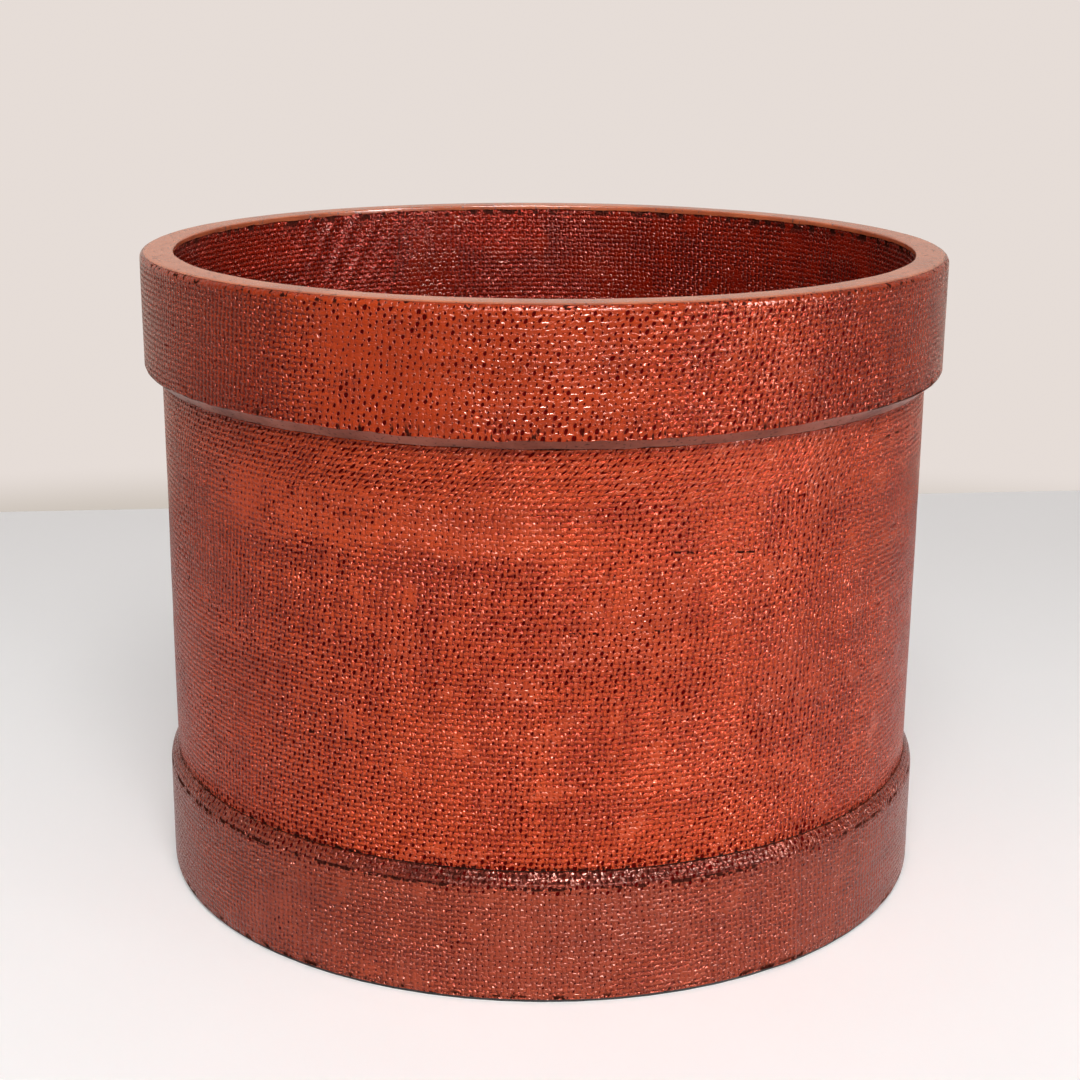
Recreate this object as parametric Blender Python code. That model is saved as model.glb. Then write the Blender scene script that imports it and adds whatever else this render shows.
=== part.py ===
"""Lacquered wooden bucket: a bent wall board with a rim band and a foot band, all covered in hemp cloth.

The bucket stands on its foot at z = 0 with its axis on Z. All sizes are in metres.
"""

import math

import bmesh
import bpy
from mathutils import Matrix, Vector

# Whole bucket
HEIGHT = 0.1905
ROUND_STEPS = 72

# Cloth and the bed of lacquer paste that bonds any two pieces
PASTE_BED = 0.0003
CLOTH_THICKNESS = 0.0006

# Bent wall board
WALL_RADIUS = 0.1141
WALL_THICKNESS = 0.0025
WALL_LAP = 0.045
WALL_SEAM_ANGLE = math.radians(110)

# Rim band
RIM_HOOP_THICKNESS = 0.0047
RIM_FACE_HEIGHT = 0.0337
RIM_CHAMFER_HEIGHT = 0.0035
RIM_LAP = 0.040
RIM_SEAM_ANGLE = math.radians(65)
RIM_EDGING_THICKNESS = 0.0009
RIM_EDGING_BEVEL = 0.0003

# Foot band
FOOT_HOOP_THICKNESS = 0.0021
FOOT_FACE_HEIGHT = 0.0334
FOOT_CHAMFER_HEIGHT = 0.0029
FOOT_TOP_EDGE = 0.0004
FOOT_LAP = 0.035
FOOT_SEAM_ANGLE = math.radians(-45)
FOOT_CLOTH_LIFT = 0.0010

# Bottom board and the coves round it
BOTTOM_LIFT = 0.012
BOTTOM_THICKNESS = 0.008
FLOOR_COVE_RADIUS = 0.0064
UNDERSIDE_COVE_RADIUS = 0.0024
COVE_STEPS = 4

# Pegs through the wall into the bottom board's edge
PEG_COUNT = 8
PEG_LENGTH = 0.015
PEG_HEAD_RADIUS = 0.0013
PEG_TIP_RADIUS = 0.0009
PEG_SIDES = 10

# Lapped ends and their bark lacing
LAP_TIP_THICKNESS = 0.0005
BARK_THICKNESS = 0.0004
BARK_WIDTH = 0.005
STITCH_LENGTH = 0.009
LACING_END_MARGIN = 0.004

# How far a cutter runs past the wood it cuts
CUTTER_OVERRUN = 0.002

# Radii and heights that follow from the sizes above
WALL_INNER = WALL_RADIUS - WALL_THICKNESS
HOOP_INNER = WALL_RADIUS + PASTE_BED
BODY_FACE = HOOP_INNER + CLOTH_THICKNESS
INSIDE_FACE = WALL_INNER - PASTE_BED - CLOTH_THICKNESS
RIM_HOOP_OUTER = HOOP_INNER + RIM_HOOP_THICKNESS
RIM_FACE = RIM_HOOP_OUTER + PASTE_BED + CLOTH_THICKNESS
FOOT_HOOP_OUTER = HOOP_INNER + FOOT_HOOP_THICKNESS
FOOT_FACE = FOOT_HOOP_OUTER + PASTE_BED + CLOTH_THICKNESS
WOOD_TOP = HEIGHT - RIM_EDGING_THICKNESS - PASTE_BED
RIM_FACE_BOTTOM = HEIGHT - RIM_FACE_HEIGHT
RIM_HOOP_BOTTOM = RIM_FACE_BOTTOM - RIM_CHAMFER_HEIGHT
FOOT_HOOP_TOP = FOOT_FACE_HEIGHT + FOOT_CHAMFER_HEIGHT
FLOOR_BED = BOTTOM_LIFT + BOTTOM_THICKNESS + PASTE_BED
UNDERSIDE_BED = BOTTOM_LIFT - PASTE_BED
BOTTOM_RADIUS = WALL_INNER - PASTE_BED
FLOOR_COVE_LEG = FLOOR_COVE_RADIUS + CLOTH_THICKNESS
UNDERSIDE_COVE_LEG = UNDERSIDE_COVE_RADIUS + CLOTH_THICKNESS
LEDGE_SLOPE = FOOT_CHAMFER_HEIGHT / (FOOT_HOOP_THICKNESS - FOOT_TOP_EDGE)


def clear_scene():
    for old in list(bpy.data.objects):
        bpy.data.objects.remove(old, do_unlink=True)


def finish(name, colour, roughness):
    """A plain Principled material; colour is linear red, green and blue."""
    material = bpy.data.materials.new(name)
    material.use_nodes = True
    shader = material.node_tree.nodes["Principled BSDF"]
    shader.inputs["Base Color"].default_value = (*colour, 1.0)
    shader.inputs["Roughness"].default_value = roughness
    shader.inputs["Metallic"].default_value = 0.0
    return material


def piece(name, bm, material=None):
    """Puts a finished bmesh in the scene as one named object. With no material it is a hidden cutter."""
    bmesh.ops.recalc_face_normals(bm, faces=bm.faces)
    mesh = bpy.data.meshes.new(name)
    bm.to_mesh(mesh)
    bm.free()
    mesh.shade_smooth()
    mesh.set_sharp_from_angle(angle=math.radians(30))
    made = bpy.data.objects.new(name, mesh)
    bpy.context.collection.objects.link(made)
    if material is None:
        made.hide_render = True
        made.display_type = "WIRE"
    else:
        mesh.materials.append(material)
    return made


def cut(target, cutter):
    """Takes the cutter's shape out of the target."""
    boolean = target.modifiers.new(cutter.name, "BOOLEAN")
    boolean.operation = "DIFFERENCE"
    boolean.solver = "EXACT"
    boolean.object = cutter


def turned(profile):
    """A bmesh turned round Z from a closed outline of (radius, height) points.

    A point on the axis becomes the one vertex at the middle of a disc.
    """
    bm = bmesh.new()
    rings = []
    for radius, height in profile:
        if radius == 0:
            rings.append([bm.verts.new((0, 0, height))])
            continue
        ring = []
        for step in range(ROUND_STEPS):
            angle = math.tau * step / ROUND_STEPS
            ring.append(bm.verts.new((radius * math.cos(angle), radius * math.sin(angle), height)))
        rings.append(ring)
    for here, there in zip(rings, rings[1:] + rings[:1]):
        if len(here) == 1 and len(there) == 1:
            continue
        for step in range(ROUND_STEPS):
            after = (step + 1) % ROUND_STEPS
            corners = [here[step % len(here)], there[step % len(there)]]
            if len(there) > 1:
                corners.append(there[after])
            if len(here) > 1:
                corners.append(here[after])
            bm.faces.new(corners)
    return bm


def bent_band(inner, thickness, bottom, top, seam_angle, lap):
    """A board bent once round and lapped over its own start.

    The first end is planed thin on its outer side and the last end on its inner side, so that the lap is
    no thicker than the board. Stations run along the board, each an angle with an inner and an outer radius.
    """
    outer = inner + thickness
    lap_angle = lap / outer
    seat_angle = 2 * PASTE_BED / outer
    planed = thickness - 2 * LAP_TIP_THICKNESS - PASTE_BED
    last = math.tau + lap_angle
    first_tip = inner + LAP_TIP_THICKNESS
    start = seam_angle - lap_angle / 2

    angles = {0.0, lap_angle, lap_angle + seat_angle, math.tau - seat_angle, math.tau, last}
    grid = math.tau / ROUND_STEPS
    step = math.ceil(start / grid)
    while step * grid - start < last:
        along = step * grid - start
        if all(abs(along - other) > grid / 4 for other in angles):
            angles.add(along)
        step += 1

    stations = []
    for along in sorted(angles):
        low = inner
        high = outer
        if along <= lap_angle:
            high = first_tip + planed * along / lap_angle
        if along >= math.tau:
            low = first_tip + PASTE_BED + planed * (along - math.tau) / lap_angle
        stations.append((start + along, low, high))

    bm = bmesh.new()
    loops = []
    for angle, low, high in stations:
        corners = ((low, bottom), (high, bottom), (high, top), (low, top))
        loops.append([bm.verts.new((r * math.cos(angle), r * math.sin(angle), z)) for r, z in corners])
    for here, there in zip(loops, loops[1:]):
        for side in range(4):
            after = (side + 1) % 4
            bm.faces.new((here[side], there[side], there[after], here[after]))
    bm.faces.new(loops[0])
    bm.faces.new(loops[-1])
    return bm


def lacing(inner, outer, bottom, top, grow):
    """A bark strip sewn up through a band in running stitches, flush with both of the band's faces.

    It is drawn in the plane of X and Z, and is as wide as the bark along Y. The slit and grooves that it
    lies in are the same shape, grown all round.
    """
    stitches = max(3, 2 * round((top - bottom) / STITCH_LENGTH / 2) + 1)
    stitch = (top - bottom) / stitches
    half = BARK_THICKNESS / 2
    path = []
    for number in range(stitches):
        radius = outer - half if number % 2 == 0 else inner + half
        path.append(Vector((radius, bottom + stitch * number)))
        path.append(Vector((radius, bottom + stitch * (number + 1))))
    path[0].y -= grow
    path[-1].y += grow

    left_side = []
    right_side = []
    for index, point in enumerate(path):
        before = (point - path[index - 1]).normalized() if index else None
        after = (path[index + 1] - point).normalized() if index + 1 < len(path) else None
        normals = [Vector((-way.y, way.x)) for way in (before, after) if way is not None]
        shift = normals[0] if len(normals) == 1 else normals[0] + normals[1]
        left_side.append(point + shift * (half + grow))
        right_side.append(point - shift * (half + grow))

    bm = bmesh.new()
    reach = BARK_WIDTH / 2 + grow
    outline = left_side + right_side[::-1]
    near = [bm.verts.new((p.x, -reach, p.y)) for p in outline]
    far = [bm.verts.new((p.x, reach, p.y)) for p in outline]
    for index in range(len(outline)):
        after = (index + 1) % len(outline)
        bm.faces.new((near[index], near[after], far[after], far[index]))
    # the two sides are closed stitch by stitch, from the strip's left edge to its right
    for index in range(len(path) - 1):
        opposite = len(outline) - 1 - index
        for side in (near, far):
            bm.faces.new((side[index], side[index + 1], side[opposite - 1], side[opposite]))
    return bm


def peg(grow):
    """A tapered peg along X, its head flush with the outside of the wall."""
    head = WALL_RADIUS + (CUTTER_OVERRUN if grow else 0)
    tip = WALL_RADIUS - PEG_LENGTH - grow
    bm = bmesh.new()
    bmesh.ops.create_cone(
        bm,
        cap_ends=True,
        segments=PEG_SIDES,
        radius1=PEG_TIP_RADIUS + grow,
        radius2=PEG_HEAD_RADIUS + grow,
        depth=head - tip,
    )
    along_x = Matrix.Rotation(math.pi / 2, 4, "Y")
    place = Matrix.Translation(((head + tip) / 2, 0, 0))
    bmesh.ops.transform(bm, matrix=place @ along_x, verts=bm.verts)
    return bm


def cove(radius, corner_height, upward):
    """The outline of a putty cove between the wall's inside and the bottom board, hollow face inward.

    Its two edges are as thick as the cloth that they meet. upward is 1 above the board and -1 below it.
    """
    leg = radius + CLOTH_THICKNESS
    centre = BOTTOM_RADIUS - leg
    outline = [
        (BOTTOM_RADIUS, corner_height),
        (BOTTOM_RADIUS, corner_height + upward * leg),
    ]
    for step in range(COVE_STEPS + 1):
        angle = math.pi / 2 * step / COVE_STEPS
        outline.append(
            (
                centre + radius * math.cos(angle),
                corner_height + upward * (leg - radius * math.sin(angle)),
            )
        )
    outline.append((centre, corner_height))
    return outline


def disc(radius, bottom, top):
    return [(0, bottom), (radius, bottom), (radius, top), (0, top)]


def ring(inner, outer, bottom, top):
    return [(inner, bottom), (outer, bottom), (outer, top), (inner, top)]


def ledge_height(radius, lift):
    """How high the foot band's planed ledge lies at a radius, on a line that is lift out from the wood."""
    return FOOT_FACE_HEIGHT + (FOOT_HOOP_OUTER - radius) * LEDGE_SLOPE + lift * math.hypot(1, LEDGE_SLOPE)


clear_scene()

PALE_WOOD = (0.56, 0.40, 0.24)
CHERRY_BARK = (0.16, 0.06, 0.035)
BAMBOO = (0.60, 0.47, 0.25)
VERMILION = (0.38, 0.046, 0.020)
DEEP_VERMILION = (0.20, 0.020, 0.010)
SMOOTH_VERMILION = (0.50, 0.14, 0.085)
BLACK_LACQUER = (0.012, 0.010, 0.009)
PUTTY = (0.16, 0.025, 0.014)

# Peg holes, shared by the wall and the bottom board
peg_height = BOTTOM_LIFT + BOTTOM_THICKNESS / 2
peg_spacing = math.tau / PEG_COUNT
first_peg_angle = WALL_SEAM_ANGLE + peg_spacing / 2
peg_holes_mesh = bmesh.new()
for number in range(PEG_COUNT):
    one_hole = peg(PASTE_BED)
    turn = Matrix.Rotation(first_peg_angle + number * peg_spacing, 4, "Z")
    raise_up = Matrix.Translation((0, 0, peg_height))
    bmesh.ops.transform(one_hole, matrix=turn @ raise_up, verts=one_hole.verts)
    spare = bpy.data.meshes.new("one_hole")
    one_hole.to_mesh(spare)
    one_hole.free()
    peg_holes_mesh.from_mesh(spare)
    bpy.data.meshes.remove(spare)
peg_holes = piece("peg_holes", peg_holes_mesh)

# Bent wall board and its lacing
wall_board = piece(
    "wall_board",
    bent_band(WALL_INNER, WALL_THICKNESS, 0, WOOD_TOP, WALL_SEAM_ANGLE, WALL_LAP),
    finish("wall_board_wood", PALE_WOOD, 0.6),
)
cut(wall_board, peg_holes)

# Bottom board
bottom_board = piece(
    "bottom_board",
    turned(disc(BOTTOM_RADIUS, BOTTOM_LIFT, BOTTOM_LIFT + BOTTOM_THICKNESS)),
    finish("bottom_board_wood", PALE_WOOD, 0.6),
)
cut(bottom_board, peg_holes)

# Bamboo pegs, all from one mesh
peg_finish = finish("peg_bamboo", BAMBOO, 0.5)
first_peg = piece("bottom_peg_1", peg(0), peg_finish)
pegs = [first_peg]
for number in range(1, PEG_COUNT):
    another = bpy.data.objects.new(f"bottom_peg_{number + 1}", first_peg.data)
    bpy.context.collection.objects.link(another)
    pegs.append(another)
for number, one_peg in enumerate(pegs):
    one_peg.location.z = peg_height
    one_peg.rotation_euler.z = first_peg_angle + number * peg_spacing

# Rim band, planed off below
rim_hoop = piece(
    "rim_hoop",
    bent_band(HOOP_INNER, RIM_HOOP_THICKNESS, RIM_HOOP_BOTTOM, WOOD_TOP, RIM_SEAM_ANGLE, RIM_LAP),
    finish("rim_hoop_wood", SMOOTH_VERMILION, 0.4),
)
rim_slope = RIM_CHAMFER_HEIGHT / (RIM_HOOP_OUTER - BODY_FACE)
rim_plane = piece(
    "rim_plane",
    turned(
        [
            (BODY_FACE - CUTTER_OVERRUN, RIM_HOOP_BOTTOM - rim_slope * CUTTER_OVERRUN),
            (RIM_HOOP_OUTER + CUTTER_OVERRUN, RIM_HOOP_BOTTOM - rim_slope * CUTTER_OVERRUN),
            (RIM_HOOP_OUTER + CUTTER_OVERRUN, RIM_FACE_BOTTOM + rim_slope * CUTTER_OVERRUN),
        ]
    ),
)
cut(rim_hoop, rim_plane)

# Foot band, planed off above
foot_hoop = piece(
    "foot_hoop",
    bent_band(HOOP_INNER, FOOT_HOOP_THICKNESS, 0, FOOT_HOOP_TOP, FOOT_SEAM_ANGLE, FOOT_LAP),
    finish("foot_hoop_wood", BLACK_LACQUER, 0.4),
)
plane_top = FOOT_HOOP_TOP + CUTTER_OVERRUN
plane_outer = FOOT_HOOP_OUTER + CUTTER_OVERRUN
foot_plane = piece(
    "foot_plane",
    turned(
        [
            (plane_outer, ledge_height(plane_outer, 0)),
            (plane_outer, plane_top),
            (HOOP_INNER + FOOT_TOP_EDGE - CUTTER_OVERRUN / LEDGE_SLOPE, plane_top),
        ]
    ),
)
cut(foot_hoop, foot_plane)

# Bark lacing through each lap
SEAMS = (
    (wall_board, WALL_INNER, WALL_RADIUS, FOOT_HOOP_TOP, RIM_HOOP_BOTTOM, WALL_SEAM_ANGLE),
    (rim_hoop, HOOP_INNER, RIM_HOOP_OUTER, RIM_FACE_BOTTOM, WOOD_TOP, RIM_SEAM_ANGLE),
    (foot_hoop, HOOP_INNER, FOOT_HOOP_OUTER, 0, FOOT_FACE_HEIGHT, FOOT_SEAM_ANGLE),
)
for band, inner, outer, bottom, top, seam_angle in SEAMS:
    sewn_from = bottom + LACING_END_MARGIN
    sewn_to = top - LACING_END_MARGIN
    name = band.name.replace("_board", "") + "_lacing"
    strip = piece(name, lacing(inner, outer, sewn_from, sewn_to, 0), finish(name + "_bark", CHERRY_BARK, 0.5))
    slits = piece(name + "_slits", lacing(inner, outer, sewn_from, sewn_to, PASTE_BED))
    strip.rotation_euler.z = seam_angle
    slits.rotation_euler.z = seam_angle
    cut(band, slits)

# Hemp cloths, each bonded over its own face
outside_wall_cloth = piece(
    "outside_wall_cloth",
    turned(
        [
            (HOOP_INNER, ledge_height(HOOP_INNER, 2 * PASTE_BED + CLOTH_THICKNESS)),
            (BODY_FACE, ledge_height(BODY_FACE, 2 * PASTE_BED + CLOTH_THICKNESS)),
            (BODY_FACE, RIM_HOOP_BOTTOM - PASTE_BED),
            (HOOP_INNER, RIM_HOOP_BOTTOM - PASTE_BED),
        ]
    ),
    finish("outside_wall_cloth_lacquer", VERMILION, 0.35),
)
rim_hoop_cloth = piece(
    "rim_hoop_cloth",
    turned(ring(RIM_HOOP_OUTER + PASTE_BED, RIM_FACE, RIM_FACE_BOTTOM, WOOD_TOP)),
    finish("rim_hoop_cloth_lacquer", VERMILION, 0.35),
)
foot_cloth_back = FOOT_HOOP_OUTER + PASTE_BED
foot_hoop_cloth = piece(
    "foot_hoop_cloth",
    turned(
        [
            (foot_cloth_back, FOOT_CLOTH_LIFT),
            (FOOT_FACE, FOOT_CLOTH_LIFT),
            (FOOT_FACE, ledge_height(FOOT_FACE, PASTE_BED + CLOTH_THICKNESS)),
            (HOOP_INNER, ledge_height(HOOP_INNER, PASTE_BED + CLOTH_THICKNESS)),
            (HOOP_INNER, ledge_height(HOOP_INNER, PASTE_BED)),
            (foot_cloth_back, ledge_height(foot_cloth_back, PASTE_BED)),
        ]
    ),
    finish("foot_hoop_cloth_lacquer", VERMILION, 0.4),
)
inside_wall_cloth = piece(
    "inside_wall_cloth",
    turned(ring(INSIDE_FACE, WALL_INNER - PASTE_BED, FLOOR_BED + FLOOR_COVE_LEG + PASTE_BED, WOOD_TOP)),
    finish("inside_wall_cloth_lacquer", DEEP_VERMILION, 0.35),
)
floor_cloth = piece(
    "floor_cloth",
    turned(disc(BOTTOM_RADIUS - FLOOR_COVE_LEG - PASTE_BED, FLOOR_BED, FLOOR_BED + CLOTH_THICKNESS)),
    finish("floor_cloth_lacquer", DEEP_VERMILION, 0.35),
)
underside_cloth = piece(
    "underside_cloth",
    turned(
        disc(
            BOTTOM_RADIUS - UNDERSIDE_COVE_LEG - PASTE_BED,
            UNDERSIDE_BED - CLOTH_THICKNESS,
            UNDERSIDE_BED,
        )
    ),
    finish("underside_cloth_lacquer", BLACK_LACQUER, 0.35),
)

# Lacquer putty: coves in the two corners, and the flat edging over the rim's end grain
floor_corner_putty = piece(
    "floor_corner_putty",
    turned(cove(FLOOR_COVE_RADIUS, FLOOR_BED, 1)),
    finish("floor_corner_lacquer", PUTTY, 0.35),
)
underside_corner_putty = piece(
    "underside_corner_putty",
    turned(cove(UNDERSIDE_COVE_RADIUS, UNDERSIDE_BED, -1)),
    finish("underside_corner_lacquer", BLACK_LACQUER, 0.35),
)
edging_shoulder = HEIGHT - RIM_EDGING_BEVEL
rim_edging = piece(
    "rim_edging",
    turned(
        [
            (INSIDE_FACE, WOOD_TOP + PASTE_BED),
            (RIM_FACE, WOOD_TOP + PASTE_BED),
            (RIM_FACE, edging_shoulder),
            (RIM_FACE - RIM_EDGING_BEVEL, HEIGHT),
            (INSIDE_FACE + RIM_EDGING_BEVEL, HEIGHT),
            (INSIDE_FACE, edging_shoulder),
        ]
    ),
    finish("rim_edging_lacquer", SMOOTH_VERMILION, 0.3),
)
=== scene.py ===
import math

import bmesh
import bpy
from mathutils import Matrix, Vector, noise


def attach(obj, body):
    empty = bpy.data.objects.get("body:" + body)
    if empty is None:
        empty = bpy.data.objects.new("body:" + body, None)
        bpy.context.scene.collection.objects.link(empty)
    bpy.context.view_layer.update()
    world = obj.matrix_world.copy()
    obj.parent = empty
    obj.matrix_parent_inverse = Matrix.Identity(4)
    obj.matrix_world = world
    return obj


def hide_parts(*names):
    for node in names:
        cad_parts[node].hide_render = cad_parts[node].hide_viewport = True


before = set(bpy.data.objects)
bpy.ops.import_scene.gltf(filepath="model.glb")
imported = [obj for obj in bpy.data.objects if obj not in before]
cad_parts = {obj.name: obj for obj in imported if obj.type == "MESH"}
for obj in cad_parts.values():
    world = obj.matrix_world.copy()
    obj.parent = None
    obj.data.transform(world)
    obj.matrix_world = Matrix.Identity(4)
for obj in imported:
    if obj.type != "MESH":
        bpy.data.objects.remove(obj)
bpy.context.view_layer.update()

# Camera
# A long lens in front of the bucket, a little above its rim and tipped down by 15.5 degrees, so that the far
# half of the inside shows over the rim.
camera_data = bpy.data.cameras.new("camera")
camera_data.sensor_width = 36
camera_data.lens = 66.10
camera = bpy.data.objects.new("camera", camera_data)
camera.matrix_world = (
    Matrix.Translation((0, -0.60058, 0.26440))
    @ Matrix.Rotation(0.00122, 4, "Z")
    @ Matrix.Rotation(math.pi / 2 - 0.27096, 4, "X")
    @ Matrix.Rotation(0.00609, 4, "Z")
)
bpy.context.collection.objects.link(camera)
bpy.context.scene.camera = camera

# Wall board
# One thin cypress board, soaked, bent round and lapped on itself, then undercoated black. Cloth hides it
# inside and out, and only its foot end shows, where the bucket stands.


class Wire:
    """A value running through a node tree. Sums written with wires become Math nodes."""

    def __init__(self, tree, socket):
        self.tree = tree
        self.socket = socket

    def maths(self, operation, *others):
        made = self.tree.nodes.new("ShaderNodeMath")
        made.operation = operation
        for slot, value in zip(made.inputs, (self, *others)):
            plug(value, slot)
        return Wire(self.tree, made.outputs[0])

    def __add__(self, other):
        return self.maths("ADD", other)

    def __mul__(self, other):
        return self.maths("MULTIPLY", other)

    def __sub__(self, other):
        return self.maths("SUBTRACT", other)

    def __rsub__(self, other):
        return self * -1 + other

    __radd__ = __add__
    __rmul__ = __mul__

    def rising(self, low, high):
        """0 below low and 1 above high, with a soft change between. It falls where low is the greater."""
        made = node(self.tree, "MapRange", 0, interpolation_type="SMOOTHSTEP", Value=self)
        made.node.inputs["From Min"].default_value = min(low, high)
        made.node.inputs["From Max"].default_value = max(low, high)
        return made if low < high else 1 - made

    @property
    def node(self):
        return self.socket.node


def plug(value, slot):
    """Links a wire into a node's input, or writes a plain number or colour on it."""
    if isinstance(value, Wire):
        value.tree.links.new(value.socket, slot)
    elif slot.type == "RGBA":
        slot.default_value = (*value, 1)
    else:
        slot.default_value = value


def node(tree, kind, output, **given):
    """Adds a node and gives a wire from one of its outputs. Inputs begin with a capital, settings don't."""
    made = tree.nodes.new("ShaderNode" + kind)
    for name, value in given.items():
        if name[0].islower():
            setattr(made, name, value)
    for name, value in given.items():
        if not name[0].islower():
            plug(value, made.inputs[name.replace("_", " ")])
    return Wire(tree, made.outputs[output])


def vector_maths(tree, operation, *values):
    """A sum on whole vectors, with its values in the node's own order."""
    made = tree.nodes.new("ShaderNodeVectorMath")
    made.operation = operation
    for slot, value in zip(made.inputs, values):
        plug(value, slot)
    return Wire(tree, made.outputs[0])


def mottle(tree, place, scale, detail=2, roughness=0.5, output="Fac"):
    """Soft cloudy noise, from 0 to 1 round a middle of 0.5, or as a colour of three such clouds."""
    return node(tree, "TexNoise", output, Vector=place, Scale=scale, Detail=detail, Roughness=roughness)


def blend(tree, share, low, high):
    """A colour that goes from low to high as share goes from 0 to 1."""
    made = tree.nodes.new("ShaderNodeMix")
    made.data_type = "RGBA"
    for slot, value in zip((0, 6, 7), (share, low, high)):
        plug(value, made.inputs[slot])
    return Wire(tree, made.outputs[2])


def parts_of(tree, vector):
    """The three numbers of a vector, as wires."""
    split = node(tree, "SeparateXYZ", 0, Vector=vector).node
    return [Wire(tree, socket) for socket in split.outputs]


def vector_of(tree, x=0, y=0, z=0):
    return node(tree, "CombineXYZ", 0, X=x, Y=y, Z=z)


def finish(name):
    """A new material with a Principled shader. Gives the material, its tree and the shader's inputs."""
    material = bpy.data.materials.new(name)
    material.use_nodes = True
    tree = material.node_tree
    return material, tree, tree.nodes["Principled BSDF"].inputs


def new_group(name, takes, gives):
    """A shader node group with named sockets. Gives its tree and the wires that come in."""
    tree = bpy.data.node_groups.new(name, "ShaderNodeTree")
    for title, kind in takes.items():
        tree.interface.new_socket(title, in_out="INPUT", socket_type="NodeSocket" + kind)
    for title in gives:
        tree.interface.new_socket(title, in_out="OUTPUT", socket_type="NodeSocketFloat")
    come_in = tree.nodes.new("NodeGroupInput")
    return tree, [Wire(tree, come_in.outputs[title]) for title in takes]


def close_group(tree, **made):
    """Runs the group's finished wires to its outputs."""
    go_out = tree.nodes.new("NodeGroupOutput")
    for name, wire in made.items():
        plug(wire, go_out.inputs[name.replace("_", " ")])


def place_group(tree, group, **given):
    """Places a group in a material. Gives its outputs as wires, in order."""
    made = tree.nodes.new("ShaderNodeGroup")
    made.node_tree = group
    for name, value in given.items():
        plug(value, made.inputs[name.replace("_", " ")])
    return [Wire(tree, socket) for socket in made.outputs]


def object_place(tree):
    return node(tree, "TexCoord", "Object")


# grain runs along the first axis of Along, with growth rings across it
grain_group, (along, ring_count) = new_group(
    "wood_grain", {"Along": "Vector", "Ring Count": "Float"}, ("Ring", "Pore")
)
stretched = vector_maths(grain_group, "MULTIPLY", along, (0.08, 1, 1))
wander = mottle(grain_group, stretched, 40, 3)
across = parts_of(grain_group, stretched)[1]
close_group(
    grain_group,
    Ring=((across * ring_count + wander * 6).maths("SINE") * 0.5 + 0.5).maths("POWER", 2),
    Pore=mottle(grain_group, stretched, 1500, 2).rising(0.5, 0.75),
)


def undercoated_wood(name, along_of):
    """Softwood under one thin black coat: the grain shows as relief, and as brown where the coat is thin."""
    material, tree, shader = finish(name)
    place = object_place(tree)
    ring, pore = place_group(tree, grain_group, Along=along_of(tree, place), Ring_Count=700.0)
    wood = blend(tree, pore, (0.10, 0.055, 0.028), (0.04, 0.022, 0.012))
    thin = mottle(tree, place, 120, 4, 0.6).rising(0.60, 0.74) * (0.4 + 0.6 * ring)
    plug(blend(tree, thin, (0.013, 0.011, 0.010), wood), shader["Base Color"])
    plug(0.28 + thin * 0.25 + mottle(tree, place, 300) * 0.12, shader["Roughness"])
    relief = node(tree, "Bump", 0, Distance=0.0002, Strength=0.3, Height=ring + pore * -0.5)
    plug(relief, shader["Normal"])
    return material


# the wall's outside, with its cloth
BODY_RADIUS = 0.115


def round_the_axis(tree, place):
    """Place for a bent board: its length runs round the bucket, and its width runs up."""
    x, y, z = parts_of(tree, place)
    return vector_of(tree, y.maths("ARCTAN2", x) * BODY_RADIUS, z)


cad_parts["wall_board"].material_slots[0].material = undercoated_wood(
    "wall_board_undercoat", round_the_axis
)

# Bottom board
# A round cypress board held inside the wall, between the floor cloth and the cloth underneath.
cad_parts["bottom_board"].material_slots[0].material = undercoated_wood(
    "bottom_board_undercoat", lambda tree, place: place
)

# Bottom pegs
# Eight bamboo pegs, driven through the wall into the bottom board's edge and cut flush.
peg_bamboo, tree, shader = finish("peg_bamboo")
place = object_place(tree)
fibre = mottle(tree, place, 2500, 2)
plug(blend(tree, fibre, (0.62, 0.49, 0.27), (0.44, 0.31, 0.14)), shader["Base Color"])
plug(0.45 + fibre * 0.2, shader["Roughness"])
plug(node(tree, "Bump", 0, Distance=0.0001, Strength=0.4, Height=fibre), shader["Normal"])
for number in range(1, 9):
    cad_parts[f"bottom_peg_{number}"].material_slots[0].material = peg_bamboo

# Rim hoop and foot hoop
# Two more bent and lapped boards, glued round the wall. The rim's is planed off below and the foot's above.
for hoop in ("rim_hoop", "foot_hoop"):
    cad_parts[hoop].material_slots[0].material = undercoated_wood(hoop + "_undercoat", round_the_axis)

# Lacing
# Strips of cherry bark, sewn through each lap in running stitches before the cloth goes on.
bark, tree, shader = finish("cherry_bark")
place = object_place(tree)
x, y, z = parts_of(tree, place)
lenticels = mottle(tree, vector_of(tree, x, y, z * 12), 260, 3).rising(0.58, 0.7)
plug(blend(tree, lenticels, (0.17, 0.06, 0.035), (0.33, 0.17, 0.10)), shader["Base Color"])
plug(0.35 + lenticels * 0.3, shader["Roughness"])
plug(node(tree, "Bump", 0, Distance=0.0001, Strength=0.6, Height=lenticels), shader["Normal"])
for seam in ("wall_lacing", "rim_hoop_lacing", "foot_hoop_lacing"):
    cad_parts[seam].material_slots[0].material = bark

# Outside wall cloth
# Plain-woven hemp, wrapped once round the wall and bonded with lacquer paste, then brushed with black and
# with vermilion lacquer. The vermilion fills the weave in places, and leaves black in its holes elsewhere.
weave_group, (threads, place, hole_size, filling) = new_group(
    "hemp_weave",
    {"Threads": "Vector", "Place": "Vector", "Hole Size": "Float", "Filling": "Float"},
    ("Height", "Hole"),
)

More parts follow.
